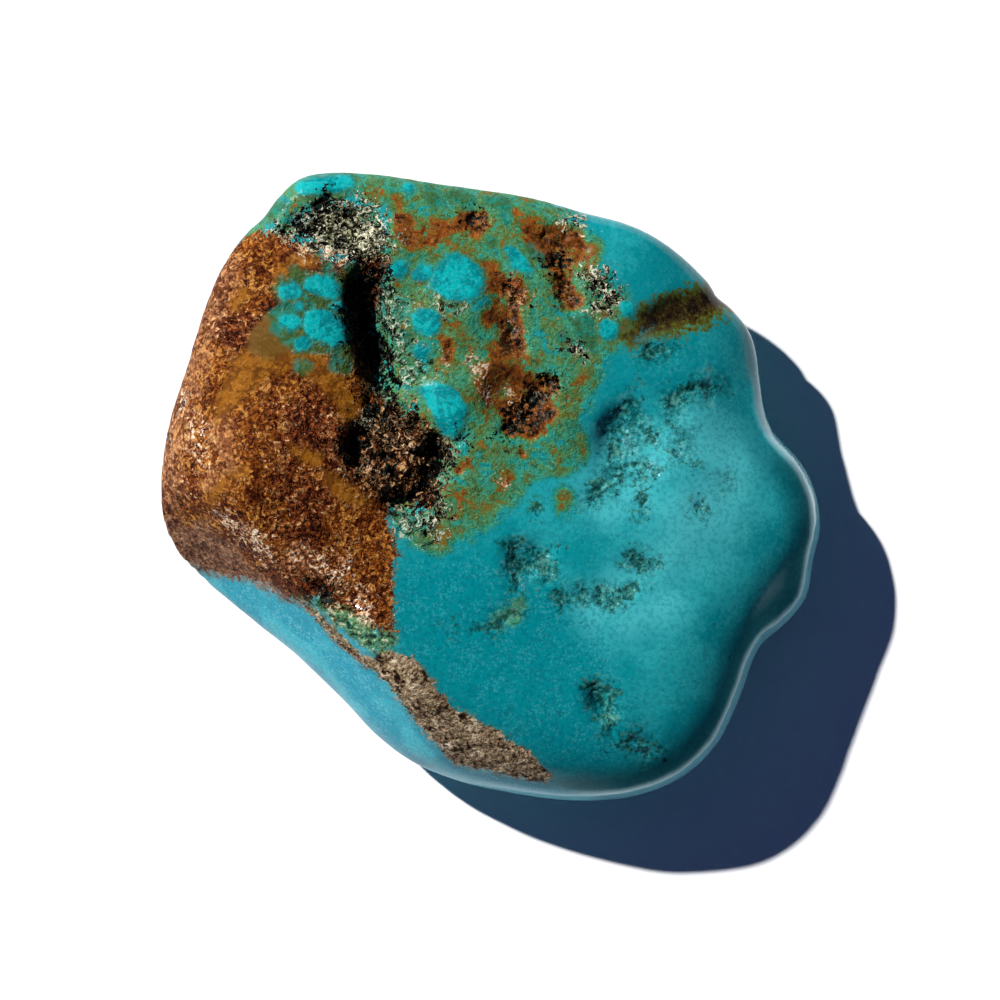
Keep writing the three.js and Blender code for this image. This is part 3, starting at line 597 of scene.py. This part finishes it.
# The crown runs out full to a brim along the right and bottom, and turns down sharply there.
BRIM_BEARINGS = (-104, -80, -45, -30, -8, 2, 10, 26)  # degrees round from +X
BRIM_SHARES = (0, 1, 1, 1.9, 1.9, 1.2, 1, 0)  # how much of the brim there is at each
BRIM_RISE = 0.22  # how much fuller it is, in millimetres
BRIM_PEAK, BRIM_REACH = 0.4, 2.7  # how far in it is fullest and how far in it ends
BRIM_FINE = 1.1  # how far in the brim's faces are fine
RIM_SHADE_INSETS = (0.45, 0.7, 1.3, 2.3)  # how far in the painted shade band starts, is full, stops and has faded
RIM_SHADE_FULL, RIM_SHADE_ENDS = (-66, 6), (-84, 24)  # bearings where the painted shade is full and where it ends
RIM_SHEEN_INSETS = (0.3, 0.62)  # how far in the painted pale reflection on the rim's edge reaches and has faded
RIM_SHEEN_UNDER = 0.4  # how far down faces look where that painted reflection has faded on the underside
SIDEWAYS = 0.15  # the most that a face on the widest line looks up or down
FAR = 99.0  # stands for a corner that isn't near the brim at all
BATCHES = 50  # the corners are measured in so many lots, to save memory


def bearings(places):
    """How many degrees round from +X each place lies."""
    return np.degrees(np.arctan2(places[:, 1], places[:, 0]))


def brim(piece):
    """How far in from the widest line each corner is, and how much it belongs to the brim."""
    places, normals = read(piece, "co") / MM, read(piece, "normal")
    share = np.interp(bearings(places), BRIM_BEARINGS, BRIM_SHARES)
    inset = np.full(len(places), FAR)
    widest = places[(np.abs(normals[:, 2]) < SIDEWAYS) & (share > 0), :2]
    upper = np.flatnonzero((normals[:, 2] > 0) & (share > 0))
    for some in np.array_split(upper, BATCHES):
        gaps = places[some, None, :2] - widest[None]
        inset[some] = np.sqrt((gaps**2).sum(axis=2)).min(axis=1)
    return inset, share


refine(stone, MIXED, BORDER)
refine(stone, ROUGHEST, BORDER / 2)
divide(stone, brim(stone)[0] < BRIM_FINE)
inset, share = brim(stone)
rising = np.clip(inset / BRIM_PEAK, 0, 1)
falling = np.clip((BRIM_REACH - inset) / (BRIM_REACH - BRIM_PEAK), 0, 1)
places = read(stone, "co")
places[:, 2] += BRIM_RISE * MM * share * rising**2 * (3 - 2 * rising) * falling**2
stone.data.vertices.foreach_set("co", places.ravel())


# Each row of the relief is a kind of rock, how far it rises, the size of its lumps if it has
# any, how soft its border is, all in millimetres, and the way that its corners move.
RELIEF = (
    ("black", -0.18, None, 0.6, "Z"), ("black", 0.3, 0.5, 0.5, "NORMAL"),
    ("dark", -0.1, None, 0.5, "NORMAL"),
    ("dent", -0.07, None, 1.2, "NORMAL"), ("dent", 0.16, 0.7, 0.8, "NORMAL"),
    ("crust", -0.06, None, 0.3, "NORMAL"), ("crust", 0.14, 0.3, 0.4, "NORMAL"),
    ("streak", -0.05, None, 1.0, "NORMAL"),
    ("rock", 0.05, 0.4, 0.25, "NORMAL"), ("cheek", 0.06, 0.5, 0.25, "NORMAL"),
    ("seam", 0.08, 0.5, 0.25, "NORMAL"), ("green", 0.05, 0.6, 0.8, "NORMAL"),
    ("rust", 0.1, 0.5, 0.8, "NORMAL"), ("dark", 0.24, 0.4, 0.25, "NORMAL"),
    ("crystal", 0.26, 0.4, 0.5, "NORMAL"), ("umber", 0.34, 0.5, 0.5, "NORMAL"),
    ("shard", 0.16, 0.4, 0.8, "NORMAL"), ("island", 0.06, None, 0.5, "NORMAL"),
    ("lip", 0.16, 0.5, 0.5, "NORMAL"),
)
FAINTEST = 0.01  # corners that would move by a smaller share than this stay


def swell(distance, soft):
    """0 well outside and 1 well inside, over a border soft millimetres wide."""
    share = np.clip(distance / soft + 0.5, 0, 1)
    return share * share * (3 - 2 * share)


def relief(piece, name, height, grain, soft, lean):
    """Raises, or with a negative height sinks, one kind of rock; grain is its lumps' size."""
    weights = swell(field(piece, name), soft)
    group = piece.vertex_groups.new(name=name)
    for corner in np.flatnonzero(weights > FAINTEST):
        group.add([int(corner)], float(weights[corner]), "REPLACE")
    settings = {"vertex_group": name, "strength": height * MM, "direction": lean, "mid_level": 0.0}
    if grain:
        lumps = bpy.data.textures.new(name + "_lumps", "CLOUDS")
        lumps.noise_scale = grain * MM
        settings.update(texture=lumps, texture_coords="LOCAL", mid_level=0.5)
    shape_with(piece, "DISPLACE", **settings)
    piece.vertex_groups.remove(piece.vertex_groups[name])


for row in RELIEF:
    relief(stone, *row)

# the worn flat that the stone rests on stays level
places = read(stone, "co")
places[:, 2] = np.maximum(places[:, 2], 0)
stone.data.vertices.foreach_set("co", places.ravel())
pick_only(stone)
bpy.ops.object.shade_smooth()


# --- Stain and crust, painted on the corners ---------------------------------------------
# Iron has soaked out of the rusty veins into the turquoise beside them, so its stain fades
# over about a millimetre. Each kind of rock also leaves its own field for the shader, and so do
# the painted shade band and the painted pale reflection along the rim.
STAIN = (("green", 0.24, 1.0), ("ochre", 0.42, 1.0), ("rust", 0.59, 1.1), ("dark", 0.82, 0.7))
ROUGHNESS = (
    ("rock", 1.0), ("cheek", 1.0), ("seam", 0.9), ("green", 0.45), ("lip", 0.8), ("dent", 0.4),
)
CRAGS = ("crystal", "umber", "shard")
WORN_SMOOTH = (("smooth", 1.0), ("ochre", 0.6), ("island", 0.9))
ROUGH_BORDER, WORN_BORDER = 0.4, 0.3  # how wide the borders of the rough and the worn rock are
DEEPEST = 4  # fields are kept up to this many millimetres inside and outside


def paint(piece, name, values):
    """Keeps a value for each corner of piece under a name that the shader reads."""
    mark = piece.data.attributes.new(name, "FLOAT", "POINT")
    mark.data.foreach_set("value", np.clip(values, -DEEPEST, DEEPEST).astype(np.float32))


def shares_of(rows, border):
    """The largest share that any of the named kinds of rock gives each corner."""
    return np.max([share * swell(field(stone, name), border) for name, share in rows], axis=0)


for name in FORMS:
    paint(stone, name, field(stone, name))
# how rough the finest relief is, and where it is craggy
craggy = np.max([swell(field(stone, name), ROUGH_BORDER) for name in CRAGS], axis=0)
rough = shares_of(ROUGHNESS, ROUGH_BORDER) * (1 - shares_of(WORN_SMOOTH, WORN_BORDER))
paint(stone, "craggy", craggy)
paint(stone, "rough", np.maximum(rough, craggy))
inset, share = brim(stone)
# painted shade: a dark band inside the rim on the side away from the lamp, where the crown turns away
# from it
lasting = np.interp(bearings(read(stone, "co")), (RIM_SHADE_ENDS[0], *RIM_SHADE_FULL, RIM_SHADE_ENDS[1]), (0, 1, 1, 0))
paint(stone, "dusk", lasting * np.interp(inset, RIM_SHADE_INSETS, (0, 1, 1, 0)))
# painted reflection: a pale band on the rim's very edge, fading inwards and on the underside
looks = read(stone, "normal")[:, 2]
under = np.clip(1 + looks / RIM_SHEEN_UNDER, 0, 1)
rim_sheen_share = np.where(looks > 0, np.interp(inset, RIM_SHEEN_INSETS, (1, 0)), under)
paint(stone, "gleam", np.minimum(share, 1) * rim_sheen_share)
stain = np.max([level * swell(field(stone, name), soft) for name, level, soft in STAIN], axis=0)
paint(stone, "stain", stain)


# --- The nugget's colours and polish ------------------------------------------------------
# Hard blue-green turquoise takes a glassy polish. Host rock is a mass of brown, orange and
# cream grains; cracks and pits are lined with black crust, also painted over their shaded walls; green
# shows where iron got in.
SUNLIT = 1.32  # how much brighter than its own tone a level face is in the lamp's light

finish = bpy.data.materials.new("polished_turquoise")
finish.use_nodes = True


class Channel:
    """A number or a colour that varies over the stone; arithmetic on it adds Math nodes."""

    def __init__(self, socket):
        self.socket = socket

    def math(self, operation, other=0.0):
        return node("ShaderNodeMath", {"operation": operation}, {0: self, 1: other})

    def or_more(self, *others):
        """The largest of this and the others."""
        largest = self
        for other in others:
            largest = largest.math("MAXIMUM", other)
        return largest

    def __add__(self, other):
        return self.math("ADD", other)

    def __radd__(self, other):
        return self.math("ADD", other)

    def __sub__(self, other):
        return self.math("SUBTRACT", other)

    def __rsub__(self, other):
        return self.math("MULTIPLY", -1.0).math("ADD", other)

    def __mul__(self, other):
        return self.math("MULTIPLY", other)

    def __rmul__(self, other):
        return self.math("MULTIPLY", other)

    def __abs__(self):
        return self.math("ABSOLUTE")


def feed(made, inputs):
    """Links each input of a node to a Channel, or sets it to a value."""
    for name, value in inputs.items():
        if isinstance(value, Channel):
            finish.node_tree.links.new(value.socket, made.inputs[name])
        else:
            made.inputs[name].default_value = value


def node(kind, settings, inputs, output=0):
    """Adds a node of that kind, with its settings and then its inputs, and gives an output."""
    made = finish.node_tree.nodes.new(kind)
    for name, value in settings.items():
        if name == "stops":
            ramp = made.color_ramp.elements
            for place, colour in value[1:-1]:
                ramp.new(place)
            for element, (place, colour) in zip(ramp, value):
                element.position, element.color = place, tone(colour)
        else:
            setattr(made, name, value)
    feed(made, inputs)
    return Channel(made.outputs[output])


def painted(name):
    """What was painted on the corners under that name."""
    return node("ShaderNodeAttribute", {"attribute_name": name}, {}, "Fac")


def tone(colour):
    """The linear colour of a face that looks like colour, 0 to 255, in the lamp's light."""
    share = np.array(colour) / 255
    linear = np.where(share <= 0.04045, share / 12.92, ((share + 0.055) / 1.055) ** 2.4)
    return (*(float(value) for value in linear / SUNLIT), 1.0)


def blend(mask, under, over):
    """under where mask is 0 and over where it is 1."""
    inputs = {0: mask}
    for slot, colour in ((6, under), (7, over)):
        inputs[slot] = colour if isinstance(colour, Channel) else tone(colour)
    return node("ShaderNodeMix", {"data_type": "RGBA"}, inputs, 2)


def shades(share, *stops):
    """The colour at share along a row of (place, colour) stops."""
    return node("ShaderNodeValToRGB", {"stops": stops}, {"Fac": share})


def step(value, low, high):
    """0 where value is below low, 1 above high, and a smooth step between."""
    settings = {"interpolation_type": "SMOOTHSTEP"}
    return node("ShaderNodeMapRange", settings, {"Value": value, "From Min": low, "From Max": high})


def clouds(scale, detail=2.0, rough=0.5, where=None, output="Fac"):
    """Soft noise with scale lumps to the millimetre."""
    inputs = {"Vector": where or place, "Scale": scale, "Detail": detail, "Roughness": rough}
    return node("ShaderNodeTexNoise", {}, inputs, output)


def moved(shift):
    """The bent place as it would be this far along all three axes."""
    return node("ShaderNodeVectorMath", {"operation": "ADD"}, {0: bent, 1: (shift, shift, shift)})


def curls(scale, width, shift):
    """Thin curly lines, like the edges of crystals, scale of them to the millimetre."""
    ridge = abs(clouds(scale, detail=1.0, where=moved(shift)) - 0.5)
    return step(ridge, width, 0.3 * width)


def mixture(coarse, medium, small, by_cell):
    """A share about a half that varies by the slow, middling and fine lumps and the cells."""
    broad = coarse * (slow - 0.5) + medium * (middling - 0.5)
    return 0.5 + broad + small * (fine - 0.5) + by_cell * (cell - 0.5)


def kind_of_rock(name, wander=0.0, soft=0.1, ragged=None):
    """1 inside one kind of rock and 0 outside, along an edge that wanders by so much."""
    inside = painted(name)
    if wander:
        inside = inside + (5 * wander) * ((ragged or ragged_edge) - 0.5)
    return step(inside, -soft, soft)


around = node("ShaderNodeTexCoord", {}, {}, "Object")
place = node("ShaderNodeMapping", {}, {"Vector": around, "Scale": (1 / MM, 1 / MM, 1 / MM)})
bent = node(
    "ShaderNodeVectorMath", {"operation": "MULTIPLY_ADD"},
    {0: clouds(2.6, detail=1, output="Color"), 1: (1.3, 1.3, 1.3), 2: place},
)
ragged_edge = clouds(1.7, detail=3, rough=0.62, where=bent)
easy_edge = clouds(1.1, where=moved(11.0))
slow = clouds(0.28, detail=1)
middling = clouds(1.2, rough=0.6, where=moved(3.0))
calm = clouds(1.3, detail=0, where=moved(31.0))
fine = clouds(4.4, rough=0.6)
finest = clouds(8.0, detail=1, rough=0.6)
chunks = clouds(2.0, detail=1, where=moved(23.0))
crumbled = ragged_edge + 0.8 * (fine - 0.5)
cells = node("ShaderNodeTexVoronoi", {}, {"Vector": bent, "Scale": 3.4}, "Color")
cell = node("ShaderNodeSeparateColor", {}, {"Color": cells})
joint = step(Channel(cells.socket.node.outputs["Distance"]), 0.5, 0.7)
lumps = node("ShaderNodeTexVoronoi", {}, {"Vector": bent, "Scale": 1.0}, "Color")
lobe_tone = node("ShaderNodeSeparateColor", {}, {"Color": lumps})
lobe_edge = step(Channel(lumps.socket.node.outputs["Distance"]), 0.5, 0.72)
pale_curls = curls(1.9, 0.026, 0.0)
dark_curls = curls(1.8, 0.024, 7.0)
more_curls = curls(2.5, 0.024, 15.0)

# turquoise: deep teal by the seam, paler towards the far side, mottled and pricked with pores
deep = kind_of_rock("deep", 0.4, 1.4, slow)
pale = kind_of_rock("pale", 0.6, 1.8, slow)
flank = kind_of_rock("flank", 0.1, 0.4)
colour = blend(step(slow + 0.5 * (middling - 0.5), 0.4, 0.62), (10, 150, 156), (34, 168, 172))
colour = blend(deep * 0.9, colour, (0, 142, 150))
colour = blend(pale * 0.75, colour, (92, 208, 212))
colour = blend(flank, colour, blend(step(slow, 0.44, 0.56), (14, 172, 196), (66, 204, 220)))
speck = step(finest, 0.5, 0.6) * (0.4 + 0.35 * deep + 0.3 * flank) * step(middling, 0.4, 0.56)
colour = blend(speck * 0.34, colour, (92, 196, 200))
colour = blend(step(fine, 0.52, 0.4) * (0.3 + 0.2 * deep), colour, (0, 116, 126))
# painted reflection: pale flecks on the steep flank
flank_reflection_flecks = flank * step(finest, 0.5, 0.6) * step(middling, 0.44, 0.58)
colour = blend(flank_reflection_flecks * 0.5, colour, (130, 222, 234))
pores = dark_curls * step(middling, 0.53, 0.6) * step(slow, 0.46, 0.56)
colour = blend(pores * 0.45, colour, (20, 96, 92))
gloss = 0.17 + 0.1 * (fine - 0.5)
dusk = painted("dusk")
gleam = painted("gleam")
# painted shade: a dark teal band inside the rim on the side away from the lamp
colour = blend(dusk * 0.5, colour, (0, 70, 84))
# painted reflection: a pale band along the rim's edge
colour = blend(gleam * 0.85, colour, (150, 236, 246))

# stained turquoise, from sea green through olive and rust to dark iron
stain = painted("stain")
unrest = 0.7 * (ragged_edge - 0.5) + 0.4 * (fine - 0.5) + 1.1 * (calm - 0.5)
started = step(stain, 0.0, 0.2)
stained = stain + started * (0.2 + 0.85 * stain) * unrest + 0.1 * stain * (cell - 0.5)
stained = stained + started * (0.12 * lobe_edge + 0.2 * (lobe_tone - 0.56))
irons = shades(
    stained,
    (0.03, (14, 146, 150)), (0.12, (38, 150, 134)), (0.22, (64, 148, 110)), (0.32, (84, 132, 78)),
    (0.41, (102, 112, 46)), (0.49, (136, 98, 32)), (0.57, (150, 80, 24)), (0.66, (122, 58, 18)),
    (0.76, (78, 34, 12)), (0.87, (42, 18, 8)), (0.97, (14, 7, 4)),
)
stain_mask = step(stained, 0.0, 0.14)
rusty = step(stained, 0.4, 0.54)
colour = blend(stain_mask, colour, irons)
colour = blend(joint * stain_mask * 0.35, colour, (24, 60, 34))
colour = blend(dark_curls * stain_mask * 0.6, colour, (20, 50, 26))
colour = blend(more_curls * stain_mask * (1 - rusty) * 0.4, colour, (120, 190, 150))
colour = blend(pale_curls * rusty * step(middling, 0.46, 0.54) * 0.5, colour, (200, 140, 76))
colour = blend(more_curls * rusty * 0.7, colour, (48, 16, 6))
colour = blend(step(chunks, 0.5, 0.6) * rusty * 0.35, colour, (160, 92, 34))
gloss = gloss + 0.1 * stain_mask + 0.1 * rusty

# brown host rock, a mass of grains, with a painted sheen making it paler where its shoulders face the
# lamp
rock_rim = kind_of_rock("rock", 0.4, 0.4)
rock = kind_of_rock("rock", 0.4, 0.08)
grains = mixture(0.5, 0.8, 1.8, 0.8)
browns = shades(
    grains,
    (0.0, (26, 6, 3)), (0.24, (60, 18, 8)), (0.42, (92, 38, 15)), (0.58, (118, 56, 22)),
    (0.74, (146, 80, 36)), (0.88, (186, 122, 70)), (1.0, (238, 196, 146)),
)
oranges = shades(
    grains,
    (0.0, (44, 13, 4)), (0.28, (86, 34, 7)), (0.5, (120, 60, 13)), (0.72, (152, 84, 22)),
    (1.0, (206, 142, 66)),
)
rocks = blend(step(slow + 0.6 * (middling - 0.5), 0.46, 0.54), browns, oranges)
rocks = blend(joint * 0.6, rocks, (34, 11, 6))
rocks = blend(more_curls * 0.6, rocks, (168, 96, 48))
rocks = blend(pale_curls * step(middling, 0.49, 0.57) * 0.6, rocks, (206, 156, 110))
rocks = blend(dark_curls * 0.65, rocks, (38, 12, 8))
# painted sheen: lighter tan on the shoulders that face the lamp
worn = kind_of_rock("worn", 0.5, 0.5)
rocks = blend(worn * 0.4, rocks, shades(grains, (0.2, (120, 66, 34)), (0.8, (214, 158, 110))))
colour = blend(rock_rim * 0.85, colour, (74, 92, 44))
colour = blend(rock, colour, rocks)

cheek = kind_of_rock("cheek", 0.25, 0.3)
cheeks = shades(
    mixture(0.5, 1.0, 1.6, 0.2), (0.1, (74, 48, 38)), (0.5, (134, 94, 70)), (0.9, (190, 148, 118)),
)
colour = blend(cheek * 0.85, colour, cheeks)

# smooth bands of ochre and one smooth olive window in the host rock
band = rock * kind_of_rock("ochre", 0.3, 0.25)
bands = blend(step(middling, 0.42, 0.58), (112, 66, 18), (156, 98, 22))
colour = blend(band * 0.8, colour, bands)
window = kind_of_rock("smooth", 0.15, 0.2, easy_edge)
colour = blend(window * 0.95, colour, blend(step(middling, 0.42, 0.6), (104, 76, 28), (122, 88, 40)))

# grey-brown seam with an olive border
seam_rim = kind_of_rock("seam", 0.3, 0.3)
seam = kind_of_rock("seam", 0.22, 0.08)
seams = shades(
    mixture(0.3, 1.2, 1.6, 0.5) + 1.6 * (chunks - 0.5),
    (0.0, (30, 20, 14)), (0.2, (96, 74, 54)), (0.45, (144, 120, 90)), (0.72, (176, 152, 118)),
    (1.0, (226, 206, 172)),
)
seams = blend(dark_curls * 0.6, seams, (48, 34, 24))
seams = blend(pale_curls * step(middling, 0.5, 0.56) * 0.6, seams, (210, 184, 148))
colour = blend(seam_rim * 0.75, colour, (88, 98, 56))
colour = blend(seam, colour, seams)

lip = kind_of_rock("lip", 0.3, 0.25)
lips = shades(
    mixture(0.0, 2.0, 2.0, 0.3),
    (0.1, (24, 30, 16)), (0.3, (92, 108, 50)), (0.5, (72, 150, 116)), (0.75, (150, 168, 112)),
    (0.95, (226, 220, 176)),
)
lips = blend(dark_curls * 0.6, lips, (36, 40, 22))
colour = blend(lip * 0.9, colour, lips)

# dark streak with an olive halo
streak_depth = painted("streak") + 1.8 * (ragged_edge - 0.5) + 1.4 * (fine - 0.5)
streaks = shades(
    0.55 + 0.5 * streak_depth,
    (0.08, (24, 140, 142)), (0.22, (58, 128, 92)), (0.36, (86, 104, 38)), (0.5, (76, 66, 16)),
    (0.64, (50, 36, 10)), (0.85, (26, 16, 5)),
)
streaks = blend(more_curls * 0.4, streaks, (110, 104, 60))
colour = blend(step(streak_depth, -0.8, -0.4), colour, streaks)

def crystals_of(dark, low, middle, high, bright, edges):
    """One family of crystals, from the gaps between them to their edges, bright by so much."""
    lights = mixture(0.4, 1.0, 0.8, 0.3) + 3.2 * (chunks - 0.5)
    faces = shades(lights, (0.1, dark), (0.38, low), (0.55, middle), (0.75, high), (1.0, bright))
    faces = blend(pale_curls * edges, faces, bright)
    faces = blend(more_curls * (0.7 * edges), faces, high)
    return blend(dark_curls * 0.8, faces, dark)


# black and cream crystals, crystals browned by iron, and grey-green shards
greys = crystals_of((4, 4, 3), (18, 18, 12), (74, 76, 48), (134, 132, 96), (236, 230, 200), 0.85)
umbers = crystals_of((6, 3, 2), (26, 12, 6), (68, 35, 15), (114, 64, 28), (204, 162, 112), 0.5)
shards = crystals_of((4, 10, 9), (18, 34, 26), (46, 72, 52), (84, 122, 92), (200, 212, 184), 0.45)
crystal = kind_of_rock("crystal", 0.7, 0.2, crumbled)
umber = kind_of_rock("umber", 0.7, 0.2, crumbled)
shard = kind_of_rock("shard", 0.7, 0.3, crumbled)
colour = blend(shard, colour, shards)
colour = blend(umber, colour, umbers)
colour = blend(crystal, colour, greys)
crystal = crystal.or_more(umber, shard)

# clusters of bright grains, and on the left shoulder painted glints of the lamp
glow = kind_of_rock("glow", 0.6, 0.25)
grain_and_glint_colours = shades(
    mixture(0.0, 1.0, 2.6, 0.6),
    (0.15, (70, 28, 10)), (0.4, (146, 84, 34)), (0.6, (200, 142, 84)), (0.85, (250, 230, 196)),
)
grain_and_glint_colours = blend(pale_curls, grain_and_glint_colours, (255, 240, 214))
glow = glow * step(chunks, 0.44, 0.56)
colour = blend(glow * 0.85, colour, grain_and_glint_colours)

# rounded turquoise lobes, some bright and some stained teal, rimmed with olive
island_rim = kind_of_rock("island", 0.1, 0.4, easy_edge)
island = kind_of_rock("island", 0.12, 0.14, easy_edge)
teal = kind_of_rock("teal", 0.15, 0.2, easy_edge)
lobes = blend(step(middling + 0.4 * (fine - 0.5), 0.4, 0.6), (0, 128, 132), (8, 172, 172))
lobes = blend(step(finest, 0.54, 0.64) * 0.18, lobes, (96, 206, 206))
teals = blend(step(calm, 0.42, 0.58), (58, 96, 50), (24, 128, 108))
colour = blend(island_rim * 0.6, colour, (70, 112, 62))
colour = blend(teal * 0.85, colour, teals)
colour = blend(joint * teal * 0.3, colour, (30, 70, 40))
colour = blend(island, colour, lobes)
colour = blend(dark_curls * island * 0.3, colour, (10, 110, 104))

# black crust in the cracks, also laid over the cracks' shaded walls as painted shade
black = kind_of_rock("black", 0.8, 0.12, crumbled)
blacks = blend(step(chunks, 0.56, 0.62) * 0.8, (3, 3, 3), (40, 48, 42))
blacks = blend(pale_curls * step(middling, 0.5, 0.56) * 0.8, blacks, (116, 112, 92))
colour = blend(black, colour, blacks)

# dimples mottled in dark and pale teal: partly crust, partly the light and shade of their small pits
# painted in
dent = kind_of_rock("dent", 0.5, 0.7)
crusty = mixture(0.0, 1.6, 2.4, 0.2) + 1.2 * (ragged_edge - 0.5)
crust_and_pit_shade = shades(
    crusty, (0.1, (0, 52, 50)), (0.35, (8, 84, 82)), (0.6, (30, 122, 118)), (0.9, (96, 172, 168)),
)
colour = blend(dent * 0.75, colour, crust_and_pit_shade)
crust = kind_of_rock("crust", 0.9, 0.25)
flecks = shades(
    mixture(0.0, 1.0, 1.6, 0.3) + 1.6 * (chunks - 0.5),
    (0.15, (10, 34, 28)), (0.45, (26, 70, 54)), (0.7, (46, 104, 86)), (1.0, (84, 136, 116)),
)
colour = blend(crust * 0.68, colour, flecks)
spot = kind_of_rock("spot", 0.04, 0.05)
colour = blend(spot, colour, (14, 36, 34))

# the polish, with a clear coat over the rim's painted pale reflection, and the duller face of the
# grains, with a few glints
SMOOTH_GRAIN, ROUGH_GRAIN, CRAG_GRAIN = 0.006, 0.15, 0.25  # heights of the bumps, in millimetres
POLISH_IOR = 1.38
EDGE_COAT, EDGE_COAT_ROUGHNESS, EDGE_COAT_IOR = 0.5, 0.12, 1.6
DULL_ROUGHNESS, DULL_SPECULAR, GLINT_ROUGHNESS = 0.5, 0.02, 0.15

rough = painted("rough")
craggy = painted("craggy")
height = (SMOOTH_GRAIN + ROUGH_GRAIN * rough) * (fine - 0.5) + CRAG_GRAIN * craggy * (chunks - 0.5)
grain = node("ShaderNodeBump", {}, {"Height": height, "Distance": MM, "Strength": 1.0})
polish = finish.node_tree.nodes["Principled BSDF"]
feed(polish, {
    "Base Color": colour, "Normal": grain, "Roughness": gloss + 0.3 * dent, "IOR": POLISH_IOR,
    "Coat Weight": EDGE_COAT * gleam, "Coat Roughness": EDGE_COAT_ROUGHNESS,
    "Coat IOR": EDGE_COAT_IOR,
})
grainy = node("ShaderNodeBsdfPrincipled", {}, {
    "Base Color": colour, "Normal": grain, "Roughness": DULL_ROUGHNESS,
    "Specular IOR Level": DULL_SPECULAR, "Coat Weight": glow * step(finest, 0.5, 0.58),
    "Coat Roughness": GLINT_ROUGHNESS,
})
dull = rock.or_more(crystal, seam, black, 0.8 * stain_mask, crust, lip)
dull = dull.or_more(0.9 * island, 0.75 * dent, 0.6 * flank, dusk)
skin = node("ShaderNodeMixShader", {}, {0: dull, 1: Channel(polish.outputs[0]), 2: grainy})
feed(finish.node_tree.nodes["Material Output"], {"Surface": skin})
stone.data.materials.append(finish)

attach(stone, "root")
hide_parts("turquoise_nugget")
